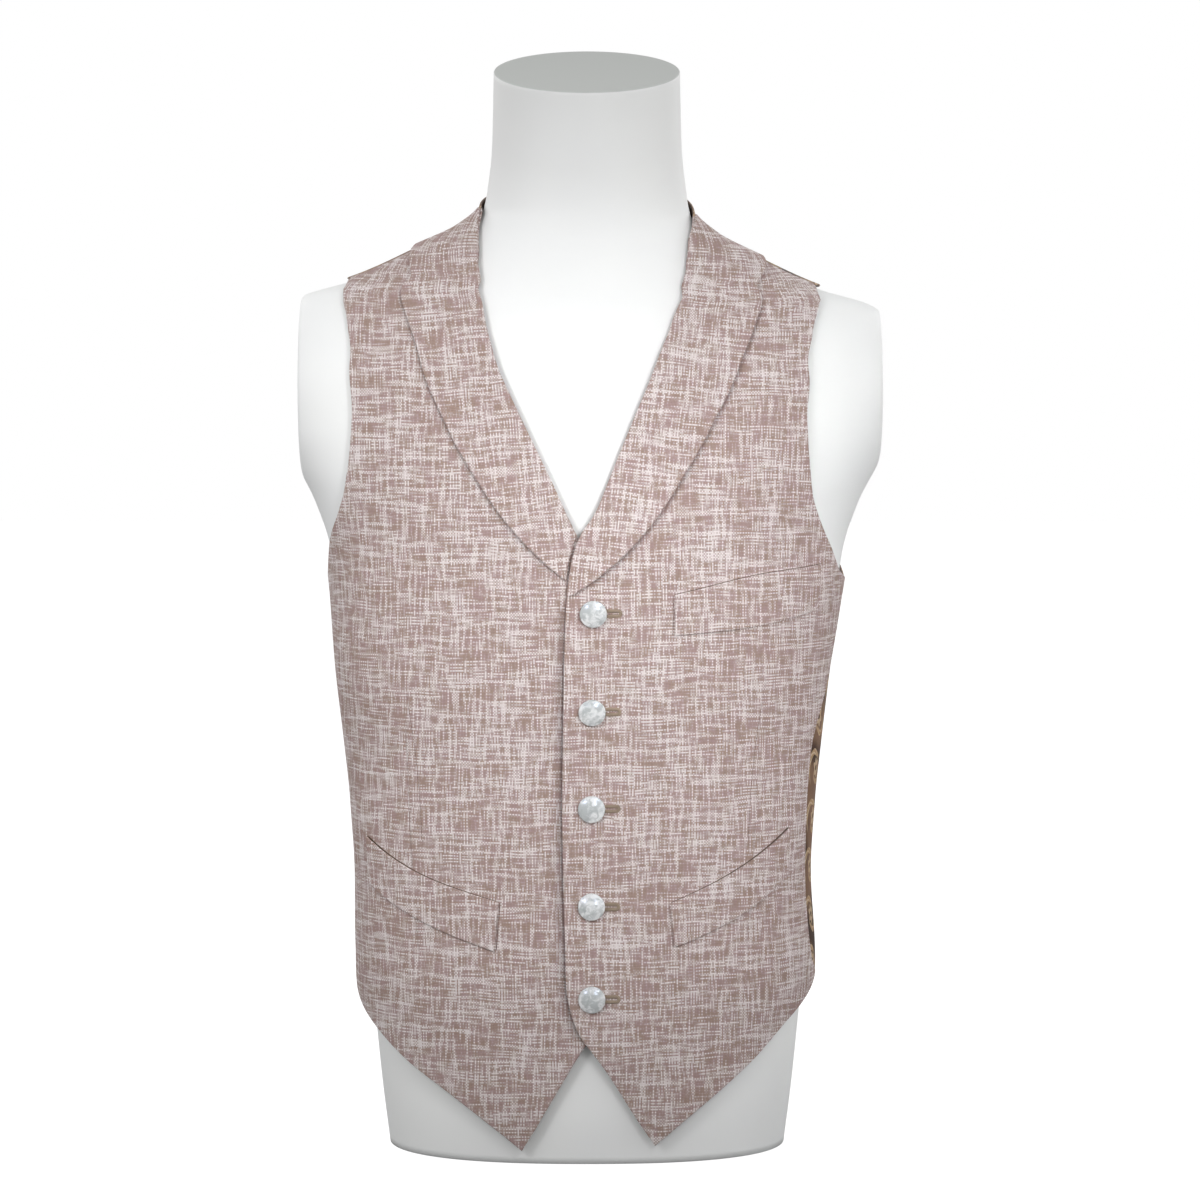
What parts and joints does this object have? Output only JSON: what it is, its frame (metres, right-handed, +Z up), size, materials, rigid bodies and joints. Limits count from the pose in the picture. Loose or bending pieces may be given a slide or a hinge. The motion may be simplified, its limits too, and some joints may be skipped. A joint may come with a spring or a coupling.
{
  "type": "suit waistcoat on a dress form",
  "caption": "Tailored suit waistcoat with shawl lapels, pocket welts, pearl buttons and a patterned satin back, worn by a limbless dress form that stands on its flat base",
  "frame": {"origin": "the middle of the dress form's flat base", "axes": "+Z up, the front of the waistcoat faces -Y, +X is the wearer's left"},
  "size_m": [0.4125, 0.2376, 0.7907],
  "materials": {
    "slub_suiting": "dry linen-look suiting with pale slubs both ways",
    "back_satin": "patterned satin, soft sheen",
    "form_shell": "smooth matte white with a grey neck cap",
    "pearl": "polished mother-of-pearl, cloudy"
  },
  "bodies": {
    "root": {"dress_form": "form_shell", "front_left": "slub_suiting", "front_right": "slub_suiting", "back_left": "back_satin", "back_right": "back_satin", "lapel_left": "slub_suiting", "lapel_right": "slub_suiting", "breast_welt": "slub_suiting", "hip_welt_left": "slub_suiting", "hip_welt_right": "slub_suiting", "button_1": "pearl", "button_2": "pearl", "button_3": "pearl", "button_4": "pearl", "button_5": "pearl"}
  },
  "joints": []
}
